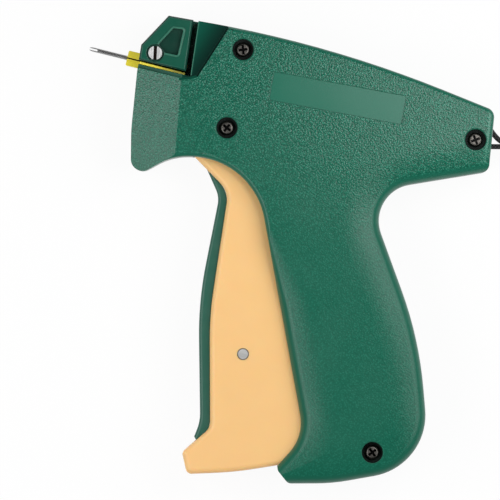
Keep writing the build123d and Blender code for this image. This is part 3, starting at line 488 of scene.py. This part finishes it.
for name, plastic in smoothPlastics.items():
    finish, tree, shader = newFinish(name)
    coords = addNode(tree, "ShaderNodeTexCoord")
    place = coords.outputs["Object"]
    patches = cloudy(tree, place, mouldSkin["patch"], mouldSkin["patchDetail"])
    shade = mixColours(tree, patches, *plastic["colours"])
    height = axesOf(tree, place)["Z"]
    upward = stretch(tree, axesOf(tree, coords.outputs["Normal"])["Z"], *mouldSkin["topFacing"])
    # levels paint shade on the recess floor and a highlight on the bead
    for step in plastic.get("levels", ()):
        atStep = stretch(tree, height, *step["heights"])
        shade = mixColours(tree, product(tree, atStep, upward), shade, step["colour"])
    # paler edges: edge wear and painted edge highlight
    softNormal, wearAndHighlight = softEdge(tree, plastic["edge"])
    shade = mixColours(tree, wearAndHighlight, shade, plastic["paler"])
    tree.links.new(shade, shader.inputs["Base Color"])
    sheen = stretch(tree, cloudy(tree, place, mouldSkin["sheen"]), *cloudSpan, *plastic["roughness"])
    tree.links.new(sheen, shader.inputs["Roughness"])
    shader.inputs["Specular IOR Level"].default_value = plastic["specular"]
    if "glow" in plastic:
        shader.inputs["Subsurface Weight"].default_value = plastic["glow"]["share"]
        shader.inputs["Subsurface Scale"].default_value = plastic["glow"]["depth"]
        shader.inputs["Subsurface Radius"].default_value = plastic["glow"]["radius"]
    skin = cloudy(tree, place, mouldSkin["skin"], mouldSkin["skinDetail"])
    bumpOut(tree, shader, skin, mouldSkin["skinDepth"], softNormal)
    dress(finish, *plastic["pieces"])
print("smooth plastics done")

# flange of the needle's base, which stands up in the slit below the nose block
baseFlange = {
    "low": (-0.0568, 0.05955, 0.0160),
    "high": (-0.0397, 0.06040, 0.0230),
    "fall": 0.0025,  # its top sinks towards the clip slot
    "edge": 0.00015,
    "edgeSteps": 2,
    "edgeRound": 0.5,  # an even arc
}
flangeEnds = list(zip(baseFlange["low"], baseFlange["high"]))
flangeMiddle = [(low + high) / 2 for low, high in flangeEnds]
flangeForm = bmesh.new()
bmesh.ops.create_cube(flangeForm, size=1.0)
bmesh.ops.scale(flangeForm, vec=[high - low for low, high in flangeEnds], verts=flangeForm.verts)
bmesh.ops.translate(flangeForm, vec=flangeMiddle, verts=flangeForm.verts)
sinking = [v for v in flangeForm.verts if v.co.x > flangeMiddle[0] and v.co.z > flangeMiddle[2]]
bmesh.ops.translate(flangeForm, vec=(0.0, 0.0, -baseFlange["fall"]), verts=sinking)
bmesh.ops.bevel(
    flangeForm,
    geom=flangeForm.edges[:],
    offset=baseFlange["edge"],
    segments=baseFlange["edgeSteps"],
    profile=baseFlange["edgeRound"],
    affect="EDGES",
    material=-1,
)
flangeMesh = bpy.data.meshes.new("baseFlange")
flangeForm.to_mesh(flangeMesh)
flangeForm.free()
flangeMesh.materials.append(bpy.data.materials["yellowBase"])
flange = bpy.data.objects.new("baseFlange", flangeMesh)
scene.collection.objects.link(flange)
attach(flange, "housing")
print("base flange set")

# metals: streaks run the way the wire, strip or head is drawn, and painted shade comes in along its run
# where a part sinks into a hole or slot
metalSkin = {
    "streak": 0.0004,
    "detail": 4.0,
    "roughness": 0.6,
    "depth": 0.000006,
}
metals = {
    "blackScrews": {
        "pieces": ("housing_screws", "nose_screws"),
        "colours": ((0.07, 0.066, 0.061, 1.0), (0.20, 0.187, 0.170, 1.0)),
        "roughness": (0.30, 0.45),
        "streak": (1.0, 1.0, 1.0),
        # painted shade in the cross of the screw heads
        "paintedShade": {"axis": "Z", "run": (0.0242, 0.0238), "colour": (0.006, 0.006, 0.006, 1.0)},
    },
    "needleSteel": {
        "pieces": ("needle_tube",),
        "colours": ((0.36, 0.36, 0.36, 1.0), (0.54, 0.54, 0.54, 1.0)),
        "roughness": (0.28, 0.40),
        "streak": (0.08, 1.0, 1.0),
        # painted shade where the tube sits in the yellow base
        "paintedShade": {"axis": "X", "run": (-0.0622, -0.0612), "colour": (0.030, 0.020, 0.008, 1.0)},
        # painted light inside the bore, which lies in shade
        "boreLight": {"line": (0.0, 0.060696, 0.0135), "colour": (0.62, 0.62, 0.62, 1.0)},
    },
    "brightSteel": {
        "pieces": (
            "needle_knife",
            "trigger_pin",
            "lever_bracket",
            "lever_pin",
            "slider_pin",
            "ejector_rod",
            "feed_axle",
        ),
        "colours": ((0.72, 0.72, 0.71, 1.0), (0.88, 0.87, 0.86, 1.0)),
        "roughness": (0.30, 0.42),
        "streak": (0.08, 1.0, 1.0),
        # painted shade ring at the edge of the trigger's pin
        "ring": {  # dark edge of the trigger's pin
            "at": (0.00552, -0.03407, 0.0),
            "reach": (0.00170, 0.00195),
            "within": 0.003,
            "colour": (0.20, 0.19, 0.18, 1.0),
        },
    },
    "springSteel": {
        "pieces": ("return_spring", "check_leaf", "feed_finger"),
        "colours": ((0.36, 0.35, 0.34, 1.0), (0.50, 0.49, 0.47, 1.0)),
        "roughness": (0.24, 0.38),
        "streak": (1.0, 1.0, 1.0),
    },
    "chromedLock": {
        "pieces": ("needle_lock",),
        "colours": ((0.86, 0.88, 0.88, 1.0), (0.93, 0.94, 0.94, 1.0)),
        "roughness": (0.36, 0.48),
        "streak": (1.0, 0.10, 1.0),
        # painted shade in the lock's slot
        "paintedShade": {"axis": "Z", "run": (0.0261, 0.0257), "colour": (0.020, 0.016, 0.014, 1.0)},
    },
}
for name, metal in metals.items():
    finish, tree, shader = newFinish(name)
    coords = addNode(tree, "ShaderNodeTexCoord")
    place = coords.outputs["Object"]
    drawn = addNode(tree, "ShaderNodeMapping", {"Vector": place, "Scale": metal["streak"]})
    streaks = cloudy(
        tree,
        drawn.outputs["Vector"],
        metalSkin["streak"],
        metalSkin["detail"],
        metalSkin["roughness"],
    )
    shade = mixColours(tree, streaks, *metal["colours"])
    # painted light on faces that look towards the needle's middle line
    if "boreLight" in metal:  # faces that look towards the needle's middle line
        fromLine = vectorOf(tree, "SUBTRACT", place, metal["boreLight"]["line"])
        fromLine = vectorOf(tree, "MULTIPLY", fromLine, (0.0, 1.0, 1.0))
        outward = vectorOf(tree, "DOT_PRODUCT", fromLine, coords.outputs["Normal"], "Value")
        shade = mixColours(tree, below(tree, outward, 0.0), shade, metal["boreLight"]["colour"])
    if "ring" in metal:
        fromPin = planDistance(tree, place, metal["ring"]["at"])
        onEdge = stretch(tree, fromPin, *metal["ring"]["reach"])
        onShadeRing = product(tree, onEdge, below(tree, fromPin, metal["ring"]["within"]))
        shade = mixColours(tree, onShadeRing, shade, metal["ring"]["colour"])
    if "paintedShade" in metal:  # painted shade where the part sinks into a hole or slot
        shadeRun = axesOf(tree, place)[metal["paintedShade"]["axis"]]
        inPaintedShade = stretch(tree, shadeRun, *metal["paintedShade"]["run"])
        shade = mixColours(tree, inPaintedShade, shade, metal["paintedShade"]["colour"])
    tree.links.new(shade, shader.inputs["Base Color"])
    tree.links.new(stretch(tree, streaks, *cloudSpan, *metal["roughness"]), shader.inputs["Roughness"])
    shader.inputs["Metallic"].default_value = 1.0
    bumpOut(tree, shader, streaks, metalSkin["depth"])
    dress(finish, *metal["pieces"])
print("metals done")

# return spring: the coil of the frame again, as a piece of its own on the housing
coilSpring = {
    "node": "return_spring",
    "joint": "slider_travel",
    "weld": 0.000001,  # corners of the loose triangles this near are joined
}
springForm = bmesh.new()
springForm.from_mesh(nodes[coilSpring["node"]].data)
bmesh.ops.remove_doubles(springForm, verts=springForm.verts, dist=coilSpring["weld"])
springMesh = bpy.data.meshes.new("coilSpring")
springForm.to_mesh(springMesh)
springForm.free()
springMesh.materials.append(bpy.data.materials["springSteel"])
spring = bpy.data.objects.new("coilSpring", springMesh)
scene.collection.objects.link(spring)
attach(spring, "housing")
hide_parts(coilSpring["node"])
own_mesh(spring)

# pale table, air that is dim at the walls and dimmer above, and three panels over the tool:
# two large ones slantwise on both sides and a small one at the rear
room = {
    "table": 12.0,
    "tableColour": (0.95, 0.95, 0.95, 1.0),
    "white": (1.0, 1.0, 1.0, 1.0),
    "whiteShare": 0.93,  # the rest of the table takes the tool's shadow
    "air": (0.28, 0.04),  # at the walls, straight above
    "airBand": (0.45, 0.90),
    "panelTurn": -41.0,
    "panels": (
        {"name": "leftPanel", "at": (-0.330, -0.137, 0.40), "size": (0.52, 0.40), "power": 1.95},
        {"name": "rightPanel", "at": (0.444, 0.198, 0.40), "size": (0.60, 0.60), "power": 2.95},
        {"name": "rearPanel", "at": (0.075, 0.090, 0.25), "size": (0.14, 0.11), "power": 0.10},
    ),
}
tableMesh = bpy.data.meshes.new("table")
tableForm = bmesh.new()
bmesh.ops.create_grid(tableForm, x_segments=1, y_segments=1, size=room["table"] / 2)
tableForm.to_mesh(tableMesh)
tableForm.free()
table = bpy.data.objects.new("table", tableMesh)
scene.collection.objects.link(table)

pale, tree, shader = newFinish("paleTable")
shader.inputs["Base Color"].default_value = room["tableColour"]
shader.inputs["Roughness"].default_value = 1.0
shader.inputs["Specular IOR Level"].default_value = 0.0
rays = addNode(tree, "ShaderNodeLightPath").outputs
seen = mathOf(tree, "MAXIMUM", rays["Is Camera Ray"], rays["Is Glossy Ray"])
seen = mathOf(tree, "MAXIMUM", seen, rays["Is Transmission Ray"])
whiteShare = product(tree, seen, room["whiteShare"])
white = addNode(tree, "ShaderNodeEmission", {"Color": room["white"], "Strength": 1.0}).outputs["Emission"]
tableLook = addNode(tree, "ShaderNodeMixShader", {0: whiteShare, 1: shader.outputs["BSDF"], 2: white})
tree.links.new(tableLook.outputs["Shader"], tree.nodes["Material Output"].inputs["Surface"])
tableMesh.materials.append(pale)

world = bpy.data.worlds.new("paleRoom")
world.use_nodes = True
scene.world = world
tree = world.node_tree
air = tree.nodes["Background"]
air.inputs["Color"].default_value = room["white"]
rise = axesOf(tree, addNode(tree, "ShaderNodeTexCoord").outputs["Generated"])["Z"]
tree.links.new(stretch(tree, rise, *room["airBand"], *room["air"]), air.inputs["Strength"])

for panel in room["panels"]:
    glow = bpy.data.lights.new(panel["name"], "AREA")
    glow.shape = "RECTANGLE"
    glow.size, glow.size_y = panel["size"]
    glow.energy = panel["power"]
    lamp = bpy.data.objects.new(panel["name"], glow)
    lamp.location = panel["at"]
    lamp.rotation_euler = (0.0, 0.0, math.radians(room["panelTurn"]))
    lamp.visible_camera = False
    scene.collection.objects.link(lamp)
print("table and light set")
